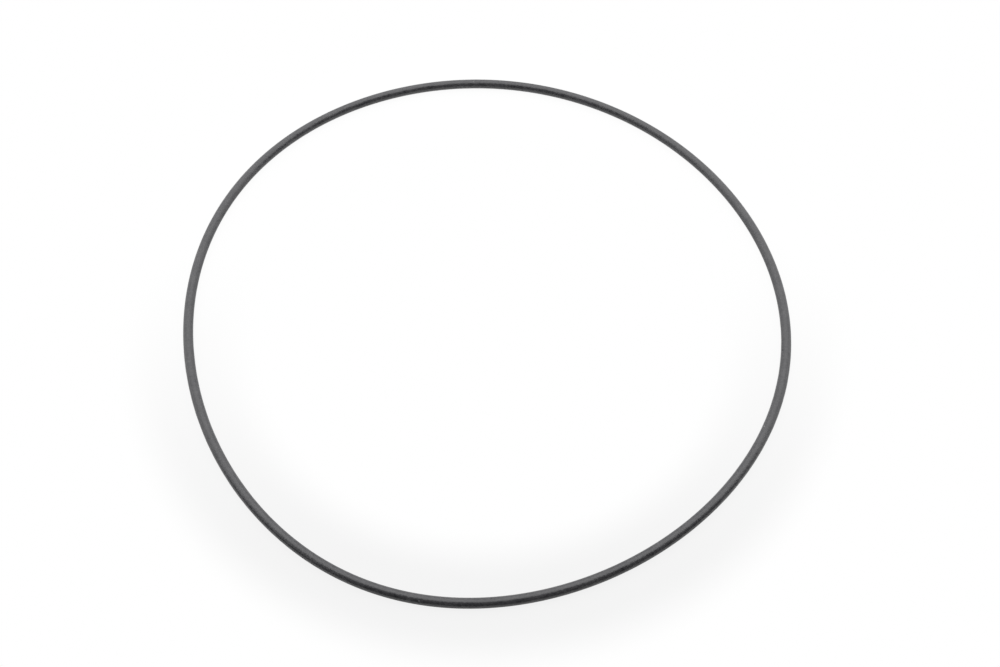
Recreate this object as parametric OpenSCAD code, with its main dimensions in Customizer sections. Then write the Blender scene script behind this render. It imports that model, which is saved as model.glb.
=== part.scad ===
// A moulded rubber o-ring of round section. It lies flat and a little out of
// round, as a soft thin ring comes to rest. Its outline is a closed chain of
// tangent arcs that all turn through the same angle, so it stays smooth.

/* [Seal] */
// Inside diameter, with the ring held round
inner_d = 120; // [60:1:300]
// Diameter of the round section
section_d = 2; // [1:0.1:6]

/* [Lie] */
// How far the outline swings out and in as an oval
oval_swing = 0.5; // [0:0.05:1.2]
// Direction in which the oval is longest, anticlockwise from +X
oval_turn = 132; // [0:1:179]
// How far the outline swings out and in as three lobes
three_lobe_swing = 0.75; // [0:0.05:1]
// Direction of the first of the three lobes
three_lobe_turn = 9; // [0:1:119]
// How far the outline swings out and in as four lobes
four_lobe_swing = 0.3; // [0:0.05:0.5]
// Direction of the first of the four lobes
four_lobe_turn = 70; // [0:1:89]
// Angle that each arc of the outline turns through, to the nearest that divides a quarter turn
arc_angle = 15; // [10:1:30]

/* [Hidden] */
$fn = 96;

section_r = section_d / 2;
round_r = inner_d / 2 + section_r;
quarter_arcs = round(90 / arc_angle);
arcs = 4 * quarter_arcs;
arc_turn = 360 / arcs;
// Step to which place() first rounds a move
grid = 0.01;

// Unit vector that points outwards at turn t
function outward(t) = [cos(t), sin(t)];

// Change in the radius of curvature where the outline swings by swing in so many lobes
function bend(lobes, swing, turn, t) = (1 - lobes * lobes) * swing * cos(lobes * (t - turn));

function curvature_r(t) = round_r
    + bend(2, oval_swing, oval_turn, t)
    + bend(3, three_lobe_swing, three_lobe_turn, t)
    + bend(4, four_lobe_swing, four_lobe_turn, t);

// Each arc takes the radius of curvature at its middle
radii = [for (i = [0:arcs - 1]) curvature_r((i + 0.5) * arc_turn)];

// Neighbouring arcs are tangent, so their centres lie on one line with the point where they meet
function centre(i) = i == 0 ? [0, 0]
    : centre(i - 1) + (radii[i - 1] - radii[i]) * outward(i * arc_turn);
centres = [for (i = [0:arcs - 1]) centre(i)];

// The point where quarter turn q begins is the outline's furthest in that direction
function furthest(q) = centres[q * quarter_arcs] + radii[q * quarter_arcs] * outward(q * 90);
middle = [(furthest(0).x + furthest(2).x) / 2, (furthest(1).y + furthest(3).y) / 2];

// Moves by a rounded step and then by what is left, so that arcs meet to a millionth of a millimetre
module place(v) {
    rounded = [for (x = v) round(x / grid) * grid];
    translate(rounded) translate(v - rounded) children();
}

module o_ring()
    color([0.26, 0.26, 0.27])
        translate([0, 0, section_r])
            for (i = [0:arcs - 1])
                place(centres[i] - middle)
                    rotate_extrude(angle = arc_turn, start = i * arc_turn)
                        place([radii[i], 0])
                            circle(section_r);

o_ring();
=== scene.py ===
"""A thin black rubber o-ring that lies relaxed on a pale floor, in a light tent that is dark in front."""

import math

import bpy
import numpy as np
from bpy.props import FloatProperty, FloatVectorProperty, IntProperty, PointerProperty
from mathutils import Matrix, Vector


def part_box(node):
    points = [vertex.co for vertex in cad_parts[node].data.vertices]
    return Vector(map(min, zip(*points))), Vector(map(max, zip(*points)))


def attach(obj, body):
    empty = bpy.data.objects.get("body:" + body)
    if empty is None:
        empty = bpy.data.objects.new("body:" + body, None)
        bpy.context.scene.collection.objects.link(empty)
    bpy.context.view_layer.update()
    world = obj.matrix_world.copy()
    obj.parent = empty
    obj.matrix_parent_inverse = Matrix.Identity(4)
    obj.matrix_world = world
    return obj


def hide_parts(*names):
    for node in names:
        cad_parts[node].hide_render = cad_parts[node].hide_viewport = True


bl_info = {
    "name": "Rubber O-Ring",
    "version": (1, 0, 0),
    "blender": (4, 5, 0),
    "location": "View3D > Sidebar > O-Ring",
    "description": "Builds a moulded rubber o-ring around its packed model, with its studio",
    "category": "Add Mesh",
}

NODE = "o_ring"
BODY = "root"
# Attribute that holds where a point lies in its own section
SECTION_PLACE = "section_place"
# Largest share of the section by which the finished ring may pass its CAD node's box
MOST_STRAY = 0.1
# UV map of the unrolled ring, its rows, and the margin round each of them
RING_MAP = "OFBake"
MAP_ROWS = 8
MAP_MARGIN = 0.004
# Layers of ever finer noise in the cloudy patches
PATCH_LAYERS = 2
# How far patches of colour and patches of relief are stretched towards black and white
COLOUR_CONTRAST = 3.0
RELIEF_CONTRAST = 2.0
# Smallest speck as a share of the largest, and the share of a speck that is plain in its middle
SMALLEST_SPECK = 0.33
SPECK_CORE = 0.4
# How far inside the hood the fill light hangs
FILL_INSET = 0.01
# Distances from the camera between which it sees anything
NEAREST_SEEN = 0.01
FURTHEST_SEEN = 20

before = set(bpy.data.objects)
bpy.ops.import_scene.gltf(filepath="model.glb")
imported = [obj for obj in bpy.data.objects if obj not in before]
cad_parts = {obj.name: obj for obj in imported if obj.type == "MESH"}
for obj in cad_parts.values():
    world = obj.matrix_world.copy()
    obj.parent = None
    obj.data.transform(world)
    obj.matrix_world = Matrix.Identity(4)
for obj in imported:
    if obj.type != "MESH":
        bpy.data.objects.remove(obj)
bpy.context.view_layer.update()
ring_low, ring_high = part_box(NODE)

# The node's mesh is a little flat-sided, so its height is taken to the tenth of a millimetre
SECTION_D = round(ring_high.z - ring_low.z, 4)


class SealSizes(bpy.types.PropertyGroup):
    """Sizes of the seal, and of the lie in which it has come to rest"""

    inner_d: FloatProperty(
        name="Inside Diameter",
        description="Inside diameter, with the ring held round",
        default=0.120,
        min=0.01,
        unit="LENGTH",
        precision=4,
    )
    section_d: FloatProperty(
        name="Section",
        description="Diameter of the round section",
        default=SECTION_D,
        min=0.0005,
        unit="LENGTH",
        precision=4,
    )
    oval_swing: FloatProperty(
        name="Oval Swing",
        description="How far the outline swings out and in as an oval",
        default=0.0005,
        unit="LENGTH",
        precision=5,
    )
    oval_turn: FloatProperty(
        name="Oval Turn",
        description="Direction in which the oval is longest",
        default=math.radians(132),
        subtype="ANGLE",
    )
    three_lobe_swing: FloatProperty(
        name="Three-Lobe Swing",
        description="How far the outline swings out and in as three lobes",
        default=0.00075,
        unit="LENGTH",
        precision=5,
    )
    three_lobe_turn: FloatProperty(
        name="Three-Lobe Turn",
        description="Direction of the first of the three lobes",
        default=math.radians(9),
        subtype="ANGLE",
    )
    four_lobe_swing: FloatProperty(
        name="Four-Lobe Swing",
        description="How far the outline swings out and in as four lobes",
        default=0.0003,
        unit="LENGTH",
        precision=5,
    )
    four_lobe_turn: FloatProperty(
        name="Four-Lobe Turn",
        description="Direction of the first of the four lobes",
        default=math.radians(70),
        subtype="ANGLE",
    )
    flash_height: FloatProperty(
        name="Flash Height",
        description="How far the trimmed flash stands out along the parting line",
        default=0.00003,
        min=0,
        unit="LENGTH",
        precision=6,
    )
    flash_width: FloatProperty(
        name="Flash Width",
        description="Width of the trimmed flash at its foot",
        default=0.00016,
        min=0.00002,
        unit="LENGTH",
        precision=6,
    )
    steps_along: IntProperty(
        name="Steps Along",
        description="Faces along the ring",
        default=1200,
        min=48,
    )
    steps_round: IntProperty(
        name="Steps Round",
        description="Faces round the section",
        default=72,
        min=12,
    )


class RubberFinish(bpy.types.PropertyGroup):
    """Finish of the moulded black rubber"""

    black: FloatVectorProperty(
        name="Rubber",
        description="Colour of the clean rubber",
        default=(0.033, 0.033, 0.037),
        subtype="COLOR",
        size=3,
        min=0,
        max=1,
    )
    bloom: FloatVectorProperty(
        name="Bloom",
        description="Colour of the rubber under a faint grey bloom",
        default=(0.070, 0.069, 0.073),
        subtype="COLOR",
        size=3,
        min=0,
        max=1,
    )
    dust: FloatVectorProperty(
        name="Dust",
        description="Colour of the few specks of dust, and of the trimmed flash",
        default=(0.20, 0.20, 0.20),
        subtype="COLOR",
        size=3,
        min=0,
        max=1,
    )
    roughness: FloatProperty(
        name="Roughness",
        description="Mean roughness of the satin skin",
        default=0.31,
        min=0,
        max=1,
        subtype="FACTOR",
    )
    roughness_swing: FloatProperty(
        name="Roughness Swing",
        description="How much rougher the bloomed patches are than the clean ones",
        default=0.08,
        min=0,
        max=1,
        subtype="FACTOR",
    )
    gloss_ior: FloatProperty(
        name="Refractive Index",
        description="Refractive index of the rubber's skin",
        default=1.54,
        min=1,
    )
    dust_spacing: FloatProperty(
        name="Dust Spacing",
        description="Spacing of the specks of dust",
        default=0.0022,
        min=0.0001,
        unit="LENGTH",
        precision=5,
    )
    dust_size: FloatProperty(
        name="Dust Size",
        description="Radius of the largest speck of dust",
        default=0.00026,
        min=0.00001,
        unit="LENGTH",
        precision=5,
    )
    fine_dust_spacing: FloatProperty(
        name="Fine Dust Spacing",
        description="Spacing of the finest specks",
        default=0.0008,
        min=0.0001,
        unit="LENGTH",
        precision=5,
    )
    fine_dust_size: FloatProperty(
        name="Fine Dust Size",
        description="Radius of the largest of the finest specks",
        default=0.00009,
        min=0.00001,
        unit="LENGTH",
        precision=5,
    )
    fine_dust_share: FloatProperty(
        name="Fine Dust Share",
        description="How pale the finest specks are, as a share of the dust's colour",
        default=0.5,
        min=0,
        max=1,
        subtype="FACTOR",
    )
    flash_paleness: FloatProperty(
        name="Flash Paleness",
        description="How pale the trimmed flash is, as a share of the dust's colour",
        default=0.3,
        min=0,
        max=1,
        subtype="FACTOR",
    )
    dust_roughness: FloatProperty(
        name="Dust Roughness",
        description="How much rougher dust is than the skin",
        default=0.3,
        min=0,
        max=1,
        subtype="FACTOR",
    )
    patch_share: FloatProperty(
        name="Patch Share",
        description="Share of the broad patches in the bloom. The fine mottle has the rest",
        default=0.4,
        min=0,
        max=1,
        subtype="FACTOR",
    )
    patch_size: FloatProperty(
        name="Patch Size",
        description="Size of the broad patches of bloom",
        default=0.0024,
        min=0.0001,
        unit="LENGTH",
        precision=5,
    )
    mottle_size: FloatProperty(
        name="Mottle Size",
        description="Size of the fine mottle within the patches",
        default=0.0005,
        min=0.00001,
        unit="LENGTH",
        precision=5,
    )
    wave_size: FloatProperty(
        name="Wave Size",
        description="Length of the shallow waves in the moulded skin",
        default=0.0010,
        min=0.00001,
        unit="LENGTH",
        precision=5,
    )
    wave_depth: FloatProperty(
        name="Wave Depth",
        description="Depth of the shallow waves",
        default=0.000032,
        min=0,
        unit="LENGTH",
        precision=6,
    )
    grain_size: FloatProperty(
        name="Grain Size",
        description="Size of the finest grain that the mould leaves",
        default=0.00014,
        min=0.00001,
        unit="LENGTH",
        precision=5,
    )
    grain_depth: FloatProperty(
        name="Grain Depth",
        description="Depth of the finest grain",
        default=0.000003,
        min=0,
        unit="LENGTH",
        precision=6,
    )
    turning_size: FloatProperty(
        name="Turning Mark Size",
        description="Spacing of the marks along the ring, where the mould was turned",
        default=0.00007,
        min=0.00001,
        unit="LENGTH",
        precision=5,
    )
    turning_depth: FloatProperty(
        name="Turning Mark Depth",
        description="Depth of the turning marks",
        default=0.0000012,
        min=0,
        unit="LENGTH",
        precision=6,
    )
    turning_wander: FloatProperty(
        name="Turning Mark Wander",
        description="How far the turning marks wander, as a share of the way along",
        default=0.03,
        min=0,
        max=1,
        subtype="FACTOR",
    )


class StudioSettings(bpy.types.PropertyGroup):
    """Camera, floor and light tent"""

    target: FloatVectorProperty(
        name="Target",
        description="Point of the floor that the camera looks at",
        default=(0.0028, -0.00363, 0.0),
        subtype="TRANSLATION",
        size=3,
        precision=4,
    )
    camera_distance: FloatProperty(
        name="Camera Distance",
        description="Distance from the target to the camera",
        default=0.2833,
        min=0.01,
        unit="LENGTH",
        precision=4,
    )
    camera_elevation: FloatProperty(
        name="Camera Elevation",
        description="Angle of the camera above the floor",
        default=math.radians(60),
        subtype="ANGLE",
    )
    lens: FloatProperty(
        name="Lens",
        description="Focal length of the lens, in millimetres",
        default=50,
        min=1,
    )
    sensor_width: FloatProperty(
        name="Sensor Width",
        description="Width of the sensor, in millimetres",
        default=36,
        min=1,
    )
    floor_colour: FloatVectorProperty(
        name="Floor",
        description="Colour of the pale floor",
        default=(0.88, 0.88, 0.88),
        subtype="COLOR",
        size=3,
        min=0,
        max=1,
    )
    floor_width: FloatProperty(
        name="Floor Width",
        description="Width of the square floor",
        default=6,
        min=0.1,
        unit="LENGTH",
    )
    floor_glow: FloatProperty(
        name="Floor Glow",
        description="Share of plain white in the floor beside the ring, over which no shadow falls",
        default=0.95,
        min=0,
        max=1,
        subtype="FACTOR",
    )
    # Painted shade: how far the floor's white is dimmed beside the front of the ring
    painted_floor_shade: FloatProperty(
        name="Floor Shade",
        description="How much the white itself dims beside the front of the ring",
        default=0.09,
        min=0,
        max=1,
        subtype="FACTOR",
    )
    # Reach of both the kept share of the ring's real shadow and the painted shade beside it
    shadow_reach: FloatVectorProperty(
        name="Shadow Reach",
        description="Distances from the ring at which its shadow begins to fade, and has gone",
        default=(0.004, 0.015),
        subtype="XYZ_LENGTH",
        size=2,
        precision=4,
    )
    # Where along Y the painted shade on the floor begins and is whole
    painted_shade_reach: FloatVectorProperty(
        name="Shade Reach",
        description="Places along Y at which the shade begins, and is whole",
        default=(0.02, -0.06),
        subtype="XYZ_LENGTH",
        size=2,
        precision=4,
    )
    tent_width: FloatProperty(
        name="Tent Width",
        description="Distance between the sides of the light tent",
        default=0.74,
        min=0.1,
        unit="LENGTH",
    )
    tent_height: FloatProperty(
        name="Tent Height",
        description="Height of the tent's roof over the floor",
        default=0.45,
        min=0.1,
        unit="LENGTH",
    )
    tent_back: FloatProperty(
        name="Tent Back",
        description="Distance from the ring's middle to the tent's back",
        default=0.7,
        min=0.1,
        unit="LENGTH",
    )
    lit_from: FloatProperty(
        name="Lit From",
        description="Place along Y from which the tent is lit. In front of it the hood is black",
        default=-0.06,
        unit="LENGTH",
    )
    hood_colour: FloatVectorProperty(
        name="Hood",
        description="Colour of the black hood",
        default=(0.01, 0.01, 0.01),
        subtype="COLOR",
        size=3,
        min=0,
        max=1,
    )
    hood_front: FloatProperty(
        name="Hood Front",
        description="Place along Y of the black hood's front",
        default=-0.5,
        unit="LENGTH",
    )
    back_height: FloatProperty(
        name="Back Light Height",
        description="Height of the light on the tent's back",
        default=0.22,
        min=0.01,
        unit="LENGTH",
    )
    roof_light: FloatProperty(
        name="Roof Light",
        description="Brightness that the roof's light adds to the white surround, where 1 shows as white",
        default=1.2,
        min=0,
    )
    back_light: FloatProperty(
        name="Back Light",
        description="Brightness that the back's light adds to the white surround",
        default=0.2,
        min=0,
    )
    side_light: FloatProperty(
        name="Side Light",
        description="Brightness that the lights of both sides add to the white surround",
        default=0.57,
        min=0,
    )
    fill_light: FloatProperty(
        name="Fill Light",
        description="Brightness of the fill light, which hangs high in the hood's left side",
        default=1.1,
        min=0,
    )
    fill_size: FloatVectorProperty(
        name="Fill Light Size",
        description="Width and height of the fill light",
        default=(0.2, 0.25),
        subtype="XYZ_LENGTH",
        size=2,
    )


def add_piece(name, points, faces, smooth=True):
    """Makes a mesh object from arrays of points and faces, and links it to the scene."""
    mesh = bpy.data.meshes.new(name)
    mesh.from_pydata(points, [], faces)
    if smooth:
        mesh.shade_smooth()
    mesh.update()
    piece = bpy.data.objects.new(name, mesh)
    bpy.context.scene.collection.objects.link(piece)
    return piece


def centreline(seal, turn):
    """Centreline of the relaxed ring, where turn is the direction in which the ring's side faces.

    The distance from the centre to the tangent that faces in direction t is h(t): the mean
    radius, plus a cosine wave for the oval, one for the three lobes and one for the four. The
    point that faces in that direction is h times the outward unit vector plus the slope of h
    times the unit vector along the tangent. The line is then centred on its own box.
    """
    waves = (
        (2, seal.oval_swing, seal.oval_turn),
        (3, seal.three_lobe_swing, seal.three_lobe_turn),
        (4, seal.four_lobe_swing, seal.four_lobe_turn),
    )
    reach = np.full_like(turn, (seal.inner_d + seal.section_d) / 2)
    slope = np.zeros_like(turn)
    for lobes, swing, start in waves:
        reach += swing * np.cos(lobes * (turn - start))
        slope -= lobes * swing * np.sin(lobes * (turn - start))
    outward = np.stack([np.cos(turn), np.sin(turn)], axis=-1)
    along = np.stack([-np.sin(turn), np.cos(turn)], axis=-1)
    line = reach[:, None] * outward + slope[:, None] * along
    return line - (line.min(axis=0) + line.max(axis=0)) / 2, outward


def section_turns(count):
    """Angles round the section, from the outside, close together at both parting lines.

    An even angle a becomes a less a share of half the sine of twice a, so that the steps are
    short where the section faces straight out or in, and long on top and below.
    """
    crowding = 0.8
    even = np.linspace(0, 2 * np.pi, count, endpoint=False)
    return even - crowding * np.sin(2 * even) / 2


def flash_share(turn):
    """How much of the flash's height is left along the ring.

    It is a mean plus a swing times the average of four sine waves, cut off at a least share and
    at 1. The waves' counts share no factor, so the trimmed edge never repeats.
    """
    least, mean, swing = 0.35, 0.7, 0.45
    waves = ((17, 0.4), (43, 1.9), (71, 3.1), (131, 5.0))
    ragged = sum(np.sin(count * turn + start) for count, start in waves) / len(waves)
    return np.clip(mean + swing * ragged, least, 1)


def ring_surface(seal):
    """Points and faces of the ring, and each point's place in its own section.

    A point at angle a round the section stands off the centreline by the section's radius, plus
    the flash's height times a bell curve of the distance from the nearest parting line, which
    has fallen to a seventh at half the flash's width. It lies off outwards by the cosine of a,
    and upwards by the sine of a.
    """
    turn = np.linspace(0, 2 * np.pi, seal.steps_along, endpoint=False)
    angle = section_turns(seal.steps_round)
    line, outward = centreline(seal, turn)
    radius = seal.section_d / 2
    off_parting = radius * np.abs(np.sin(angle)) / (seal.flash_width / 2)
    flash = seal.flash_height * np.exp(-2 * off_parting**2)
    stand = radius + flash_share(turn)[:, None] * flash
    place = np.zeros((seal.steps_along, seal.steps_round, 3))
    place[..., 0] = stand * np.cos(angle)
    place[..., 1] = stand * np.sin(angle)
    points = np.empty_like(place)
    points[..., :2] = line[:, None] + place[..., :1] * outward[:, None]
    points[..., 2] = radius + place[..., 1]
    here = np.arange(seal.steps_along * seal.steps_round).reshape(points.shape[:2])
    ahead = np.roll(here, -1, axis=0)
    faces = np.stack([here, ahead, np.roll(ahead, -1, axis=1), np.roll(here, -1, axis=1)], axis=-1)
    return points.reshape(-1, 3), faces.reshape(-1, 4), place.reshape(-1, 3)


def ring_map(seal):
    """Places of the faces' corners on the ring's UV map, in the order of the faces.

    The ring is cut into lengths, and each lies on the map as a row, one above another, so that
    they fill it. Along its row, a corner's place is its share of that length. Up its row, it is
    its angle from the underside as a share of a whole turn. A margin is kept round each row.
    """
    step = np.arange(seal.steps_along)
    row = step * MAP_ROWS // seal.steps_along
    starts = np.searchsorted(row, np.arange(MAP_ROWS + 1))
    step_in_row = step - starts[row]
    steps_in_row = np.diff(starts)[row]
    angle = section_turns(seal.steps_round)
    step_turn = np.diff(angle, append=2 * np.pi)
    underside = seal.steps_round * 3 // 4
    off_underside = np.mod(angle - angle[underside], 2 * np.pi)
    row_height = 1 / MAP_ROWS
    places = np.empty((seal.steps_along, seal.steps_round, 4, 2))
    for corner, (ahead, above) in enumerate(((0, 0), (1, 0), (1, 1), (0, 1))):
        along = (step_in_row + ahead) / steps_in_row
        up = (off_underside + above * step_turn) / (2 * np.pi)
        across_map = MAP_MARGIN + (1 - 2 * MAP_MARGIN) * along
        up_row = MAP_MARGIN + (row_height - 2 * MAP_MARGIN) * up
        places[:, :, corner, 0] = across_map[:, None]
        places[:, :, corner, 1] = row[:, None] * row_height + up_row
    return places


class NodeMaker:
    """Adds nodes to a node tree, and feeds their inputs with numbers or with other nodes' outputs."""

    def __init__(self, tree):
        self.tree = tree

    def add(self, kind, **settings):
        node = self.tree.nodes.new(kind)
        for name, value in settings.items():
            setattr(node, name, value)
        return node

    def feed(self, socket, value):
        if isinstance(value, bpy.types.NodeSocket):
            self.tree.links.new(value, socket)
        else:
            socket.default_value = value

    def math(self, operation, *values):
        node = self.add("ShaderNodeMath", operation=operation)
        for socket, value in zip(node.inputs, values):
            self.feed(socket, value)
        return node.outputs[0]

    def vector_math(self, operation, *values):
        node = self.add("ShaderNodeVectorMath", operation=operation)
        for socket, value in zip(node.inputs, values):
            self.feed(socket, value)
        return node.outputs["Value" if operation == "LENGTH" else "Vector"]

    def ramp(self, value, start, end, low=0.0, high=1.0):
        """A smooth step from low, where the value is at start, to high, where it is at end."""
        node = self.add("ShaderNodeMapRange", interpolation_type="SMOOTHSTEP")
        for socket, number in zip(node.inputs, (value, start, end, low, high)):
            self.feed(socket, number)
        return node.outputs["Result"]

    def mix_colour(self, share, first, second):
        """A share of the second colour, and the rest of the first.

        The node's sockets are numbered, because those for colours have the same names as those
        for numbers and vectors, which stand before them.
        """
        node = self.add("ShaderNodeMix", data_type="RGBA")
        self.feed(node.inputs[0], share)
        self.feed(node.inputs[6], first)
        self.feed(node.inputs[7], second)
        return node.outputs[2]

    def group(self, tree, **values):
        """Places a node group, with a value for each input named. Gives its first output."""
        node = self.add("ShaderNodeGroup", node_tree=tree)
        for name, value in values.items():
            self.feed(node.inputs[name.replace("_", " ").title()], value)
        return node.outputs[0]


def new_group(name, inputs, output):
    """A shader node group with named inputs, each a socket type and a default, and one number out."""
    tree = bpy.data.node_groups.new(name, "ShaderNodeTree")
    for socket_name, (kind, default) in inputs.items():
        socket = tree.interface.new_socket(name=socket_name, in_out="INPUT", socket_type=kind)
        if default is not None:
            socket.default_value = default
    tree.interface.new_socket(name=output, in_out="OUTPUT", socket_type="NodeSocketFloat")
    maker = NodeMaker(tree)
    given = maker.add("NodeGroupInput").outputs
    result = maker.add("NodeGroupOutput").inputs[0]
    return maker, given, result


def soft_patches():
    """Group: cloudy patches of a given size, from 0 to 1, with a mean of about a half.

    Fractal noise keeps near a half, so the middle part of its range is stretched to the whole.
    """
    inputs = {
        "Place": ("NodeSocketVector", None),
        "Size": ("NodeSocketFloat", 0.001),
        "Contrast": ("NodeSocketFloat", RELIEF_CONTRAST),
    }
    maker, given, result = new_group("soft_patches", inputs, "Patches")
    noise = maker.add("ShaderNodeTexNoise")
    noise.inputs["Detail"].default_value = PATCH_LAYERS
    maker.feed(noise.inputs["Vector"], given["Place"])
    maker.feed(noise.inputs["Scale"], maker.math("DIVIDE", 1, given["Size"]))
    off_mean = maker.math("SUBTRACT", noise.outputs["Fac"], 0.5)
    stretched = maker.math("MULTIPLY_ADD", off_mean, given["Contrast"], 0.5)
    clipped = maker.add("ShaderNodeClamp")
    maker.feed(clipped.inputs["Value"], stretched)
    maker.feed(result, clipped.outputs[0])
    return maker.tree


def scattered_specks():
    """Group: sparse soft-edged specks, 1 at a speck's middle and 0 between them.

    Each cell of a loose lattice holds one point. A speck is what lies within its radius of that
    point, and the radius is a random share of the size. Noise pushes the place about first, so
    that no speck is round.
    """
    inputs = {
        "Place": ("NodeSocketVector", None),
        "Spacing": ("NodeSocketFloat", 0.003),
        "Size": ("NodeSocketFloat", 0.0001),
    }
    maker, given, result = new_group("scattered_specks", inputs, "Specks")
    push = maker.add("ShaderNodeTexNoise")
    maker.feed(push.inputs["Vector"], given["Place"])
    maker.feed(push.inputs["Scale"], maker.math("DIVIDE", 1, given["Size"]))
    offset = maker.vector_math("SUBTRACT", push.outputs["Color"], (0.5, 0.5, 0.5))
    reach = maker.add("ShaderNodeVectorMath", operation="SCALE")
    maker.feed(reach.inputs["Vector"], offset)
    maker.feed(reach.inputs["Scale"], given["Size"])
    place = maker.vector_math("ADD", given["Place"], reach.outputs["Vector"])
    cells = maker.add("ShaderNodeTexVoronoi")
    maker.feed(cells.inputs["Vector"], place)
    maker.feed(cells.inputs["Scale"], maker.math("DIVIDE", 1, given["Spacing"]))
    chance = maker.add("ShaderNodeSeparateColor")
    maker.feed(chance.inputs[0], cells.outputs["Color"])
    share = maker.math("MULTIPLY_ADD", chance.outputs[0], 1 - SMALLEST_SPECK, SMALLEST_SPECK)
    radius = maker.math("MULTIPLY", share, given["Size"])
    distance = maker.math("MULTIPLY", cells.outputs["Distance"], given["Spacing"])
    maker.feed(result, maker.ramp(distance, radius, maker.math("MULTIPLY", radius, SPECK_CORE)))
    return maker.tree


def rubber_material(seal, finish):
    """Satin black rubber: bloomed patches and mottle, a moulded grain, trimmed flash and dust.

    The height of the skin is in metres: broad shallow waves, the grain, and fine marks that run
    along the ring, where the mould was turned. The marks follow each point's place in its own
    section, which a small share of its place in space makes wander.
    """
    material = bpy.data.materials.new("black_rubber")
    material.use_nodes = True
    maker = NodeMaker(material.node_tree)
    shader = material.node_tree.nodes["Principled BSDF"]
    patches = soft_patches()
    specks = scattered_specks()
    place = maker.add("ShaderNodeTexCoord").outputs["Object"]
    in_section = maker.add("ShaderNodeAttribute", attribute_name=SECTION_PLACE).outputs["Vector"]

    broad = maker.group(patches, place=place, size=finish.patch_size, contrast=COLOUR_CONTRAST)
    mottle = maker.group(patches, place=place, size=finish.mottle_size, contrast=COLOUR_CONTRAST)
    fine_part = maker.math("MULTIPLY", mottle, 1 - finish.patch_share)
    bloom = maker.math("MULTIPLY_ADD", broad, finish.patch_share, fine_part)

    coarse = maker.group(specks, place=place, spacing=finish.dust_spacing, size=finish.dust_size)
    fine = maker.group(specks, place=place, spacing=finish.fine_dust_spacing, size=finish.fine_dust_size)
    dust = maker.math("MAXIMUM", coarse, maker.math("MULTIPLY", fine, finish.fine_dust_share))

    height_place = maker.add("ShaderNodeSeparateXYZ")
    maker.feed(height_place.inputs[0], in_section)
    off_parting = maker.math("ABSOLUTE", height_place.outputs["Y"])
    flash = maker.ramp(off_parting, seal.flash_width / 2, 0)
    pale = maker.math("MAXIMUM", dust, maker.math("MULTIPLY", flash, finish.flash_paleness))

    colour = maker.mix_colour(bloom, (*finish.black, 1), (*finish.bloom, 1))
    maker.feed(shader.inputs["Base Color"], maker.mix_colour(pale, colour, (*finish.dust, 1)))

    smoothest = finish.roughness - finish.roughness_swing / 2
    skin = maker.math("MULTIPLY_ADD", bloom, finish.roughness_swing, smoothest)
    roughness = maker.math("MULTIPLY_ADD", pale, finish.dust_roughness, skin)
    maker.feed(shader.inputs["Roughness"], roughness)
    shader.inputs["IOR"].default_value = finish.gloss_ior

    wander = [finish.turning_wander] * 3
    along = maker.vector_math("MULTIPLY_ADD", place, wander, in_section)
    waves = maker.group(patches, place=place, size=finish.wave_size, contrast=RELIEF_CONTRAST)
    grain = maker.group(patches, place=place, size=finish.grain_size, contrast=RELIEF_CONTRAST)
    marks = maker.group(patches, place=along, size=finish.turning_size, contrast=RELIEF_CONTRAST)
    height = maker.math("MULTIPLY", waves, finish.wave_depth)
    height = maker.math("MULTIPLY_ADD", grain, finish.grain_depth, height)
    height = maker.math("MULTIPLY_ADD", marks, finish.turning_depth, height)
    bump = maker.add("ShaderNodeBump")
    bump.inputs["Distance"].default_value = 1
    maker.feed(bump.inputs["Height"], height)
    maker.feed(shader.inputs["Normal"], bump.outputs["Normal"])
    return material


class ORING_OT_ring(bpy.types.Operator):
    """Builds the rubber ring in the place of its CAD node"""

    bl_idname = "oring.ring"
    bl_label = "Rubber Ring"

    def execute(self, context):
        seal = context.scene.oring_seal
        points, faces, in_section = ring_surface(seal)
        reach = np.array([points.min(axis=0), points.max(axis=0)])
        stray = np.abs(reach - np.array([ring_low, ring_high])).max()
        if stray > MOST_STRAY * seal.section_d:
            raise ValueError(f"the ring reaches {stray:.5f} m away from its CAD node's box")
        ring = add_piece("rubber_ring", points, faces)
        attribute = ring.data.attributes.new(SECTION_PLACE, "FLOAT_VECTOR", "POINT")
        attribute.data.foreach_set("vector", in_section.ravel())
        unrolled = ring.data.uv_layers.new(name=RING_MAP)
        unrolled.uv.foreach_set("vector", ring_map(seal).ravel())
        ring.data.materials.append(rubber_material(seal, context.scene.oring_finish))
        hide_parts(NODE)
        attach(ring, BODY)
        return {"FINISHED"}


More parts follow.
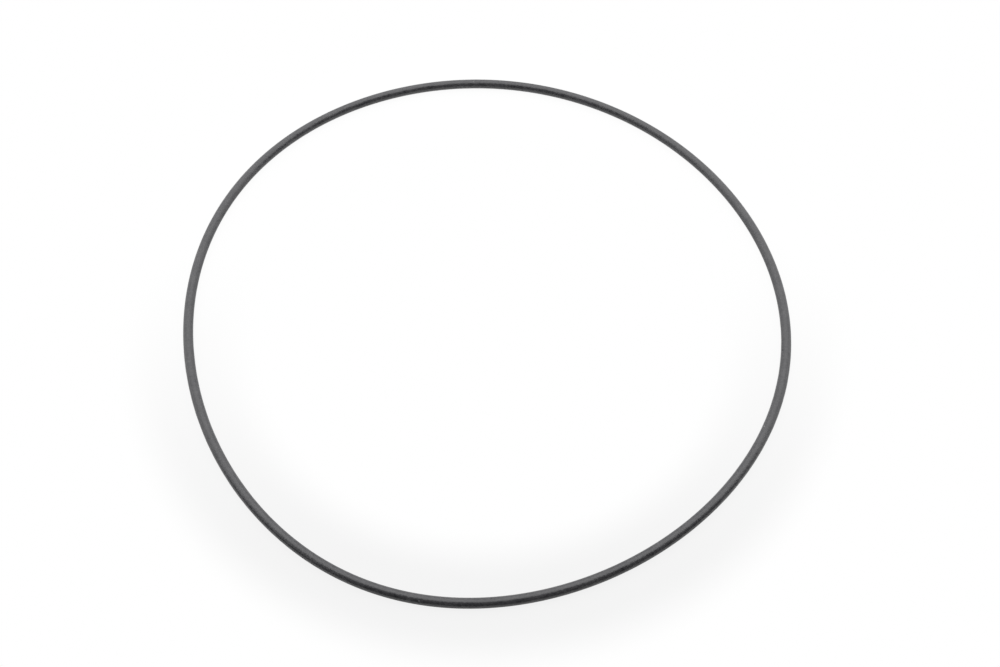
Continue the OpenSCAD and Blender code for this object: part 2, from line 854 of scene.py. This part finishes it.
def floor_material(studio):
    """Pale matt floor that shows plain white, and keeps a share of the ring's shadow beside it.

    The white counts for the camera's rays, and for those that a mirror or glass sends on. Its
    share grows to the whole with the distance from the circle of the ring's mean radius, and it
    dims a little beside that circle, towards the front: a painted shade, not one that the lamps cast.
    """
    material = bpy.data.materials.new("pale_floor")
    material.use_nodes = True
    material.node_tree.nodes.clear()
    maker = NodeMaker(material.node_tree)
    path = maker.add("ShaderNodeLightPath").outputs
    seen = maker.math("MAXIMUM", path["Is Camera Ray"], path["Is Glossy Ray"])
    seen = maker.math("MAXIMUM", seen, path["Is Transmission Ray"])
    place = maker.add("ShaderNodeTexCoord").outputs["Object"]
    mean_radius = (ring_high.x - ring_low.x - SECTION_D) / 2
    off_circle = maker.math("SUBTRACT", maker.vector_math("LENGTH", place), mean_radius)
    off_ring = maker.math("ABSOLUTE", off_circle)
    share = maker.ramp(off_ring, *studio.shadow_reach, studio.floor_glow, 1)
    # Painted shade: the white dims beside the ring's circle, more towards the front, set by place rather
    # than by the lamps
    beside = maker.ramp(off_ring, *studio.shadow_reach, studio.painted_floor_shade, 0)
    along = maker.add("ShaderNodeSeparateXYZ")
    maker.feed(along.inputs[0], place)
    shade = maker.math("MULTIPLY", beside, maker.ramp(along.outputs["Y"], *studio.painted_shade_reach))
    matt = maker.add("ShaderNodeBsdfDiffuse")
    matt.inputs["Color"].default_value = (*studio.floor_colour, 1)
    white = maker.add("ShaderNodeEmission")
    maker.feed(white.inputs["Strength"], maker.math("SUBTRACT", 1, shade))
    mix = maker.add("ShaderNodeMixShader")
    maker.feed(mix.inputs[0], maker.math("MULTIPLY", seen, share))
    maker.feed(mix.inputs[1], matt.outputs[0])
    maker.feed(mix.inputs[2], white.outputs[0])
    output = maker.add("ShaderNodeOutputMaterial")
    maker.feed(output.inputs["Surface"], mix.outputs[0])
    return material


def add_floor(studio):
    """A square pale floor, on which the ring lies in the middle."""
    half = studio.floor_width / 2
    corners = [(-half, -half, 0), (half, -half, 0), (half, half, 0), (-half, half, 0)]
    floor = add_piece("floor", corners, [(0, 1, 2, 3)], smooth=False)
    floor.data.materials.append(floor_material(studio))


def set_world(scene):
    """A plain white surround of strength 1, which lights the object evenly."""
    world = bpy.data.worlds.new("studio")
    world.use_nodes = True
    background = world.node_tree.nodes["Background"]
    background.inputs["Color"].default_value = (1, 1, 1, 1)
    background.inputs["Strength"].default_value = 1
    scene.world = world


def add_softbox(name, centre, facing, size, brightness):
    """A rectangular lamp that faces along a vector. Its power is its brightness times its area and pi."""
    data = bpy.data.lights.new(name, "AREA")
    data.shape = "RECTANGLE"
    data.size, data.size_y = size
    data.energy = brightness * size[0] * size[1] * math.pi
    lamp = bpy.data.objects.new(name, data)
    lamp.location = centre
    lamp.rotation_euler = Vector(facing).to_track_quat("-Z", "Y").to_euler()
    lamp.visible_camera = False
    bpy.context.scene.collection.objects.link(lamp)


def add_tent(studio):
    """Lights on the tent's roof, low on its back, on both sides, and a fill high at the left front."""
    half = studio.tent_width / 2
    front, back, height = studio.lit_from, studio.tent_back, studio.tent_height
    middle, depth = (back + front) / 2, back - front
    roof_size = (studio.tent_width, depth)
    add_softbox("roof", (0, middle, height), (0, 0, -1), roof_size, studio.roof_light)
    back_size = (studio.tent_width, studio.back_height)
    back_centre = (0, back, studio.back_height / 2)
    add_softbox("back", back_centre, (0, -1, 0), back_size, studio.back_light)
    for name, side in (("left", -1), ("right", 1)):
        centre = (side * half, middle, height / 2)
        add_softbox(name, centre, (-side, 0, 0), (depth, height), studio.side_light)
    width, fill_height = studio.fill_size
    fill_centre = (FILL_INSET - half, front - width / 2, height - fill_height / 2)
    add_softbox("fill", fill_centre, (1, 0, 0), studio.fill_size, studio.fill_light)


def add_hood(studio):
    """A black hood over the tent's front, where the camera stands: a front, a roof and two sides.

    The camera sees through it. Its corners are counted upwards, then backwards, then rightwards.
    """
    half = studio.tent_width / 2
    depths = (studio.hood_front, studio.lit_from)
    points = [(x, y, z) for x in (-half, half) for y in depths for z in (0, studio.tent_height)]
    faces = [(0, 4, 5, 1), (1, 5, 7, 3), (0, 1, 3, 2), (4, 6, 7, 5)]
    hood = add_piece("hood", points, faces, smooth=False)
    material = bpy.data.materials.new("black_card")
    material.use_nodes = True
    shader = material.node_tree.nodes["Principled BSDF"]
    shader.inputs["Base Color"].default_value = (*studio.hood_colour, 1)
    shader.inputs["Roughness"].default_value = 1
    hood.data.materials.append(material)
    hood.visible_camera = False


def add_camera(scene, studio):
    """A camera at the photograph's height and lens, aimed at the target."""
    data = bpy.data.cameras.new("camera")
    data.lens = studio.lens
    data.sensor_width = studio.sensor_width
    data.clip_start = NEAREST_SEEN
    data.clip_end = FURTHEST_SEEN
    camera = bpy.data.objects.new("camera", data)
    back = Vector((0, -math.cos(studio.camera_elevation), math.sin(studio.camera_elevation)))
    camera.location = Vector(studio.target) + studio.camera_distance * back
    camera.rotation_euler = (-back).to_track_quat("-Z", "Y").to_euler()
    scene.collection.objects.link(camera)
    scene.camera = camera


class ORING_OT_stage(bpy.types.Operator):
    """Builds the pale floor, the light tent and the camera"""

    bl_idname = "oring.stage"
    bl_label = "Studio"

    def execute(self, context):
        scene = context.scene
        studio = scene.oring_studio
        add_floor(studio)
        set_world(scene)
        add_tent(studio)
        add_hood(studio)
        add_camera(scene, studio)
        scene.view_settings.view_transform = "Standard"
        return {"FINISHED"}


class ORING_PT_panel(bpy.types.Panel):
    """Lists the ring's sizes and finish, and the studio"""

    bl_idname = "ORING_PT_panel"
    bl_label = "Rubber O-Ring"
    bl_space_type = "VIEW_3D"
    bl_region_type = "UI"
    bl_category = "O-Ring"

    def draw(self, context):
        groups = (
            (ORING_OT_ring, context.scene.oring_seal),
            (None, context.scene.oring_finish),
            (ORING_OT_stage, context.scene.oring_studio),
        )
        for operator, group in groups:
            column = self.layout.column(align=True)
            if operator:
                column.operator(operator.bl_idname)
            for name in group.__annotations__:
                column.prop(group, name)


CLASSES = (SealSizes, RubberFinish, StudioSettings, ORING_OT_ring, ORING_OT_stage, ORING_PT_panel)


def register():
    for cls in CLASSES:
        bpy.utils.register_class(cls)
    bpy.types.Scene.oring_seal = PointerProperty(type=SealSizes)
    bpy.types.Scene.oring_finish = PointerProperty(type=RubberFinish)
    bpy.types.Scene.oring_studio = PointerProperty(type=StudioSettings)


def unregister():
    del bpy.types.Scene.oring_studio
    del bpy.types.Scene.oring_finish
    del bpy.types.Scene.oring_seal
    for cls in reversed(CLASSES):
        bpy.utils.unregister_class(cls)


def main():
    """Builds the ring and its studio."""
    register()
    bpy.ops.oring.ring()
    bpy.ops.oring.stage()


if __name__ == "__main__":
    main()
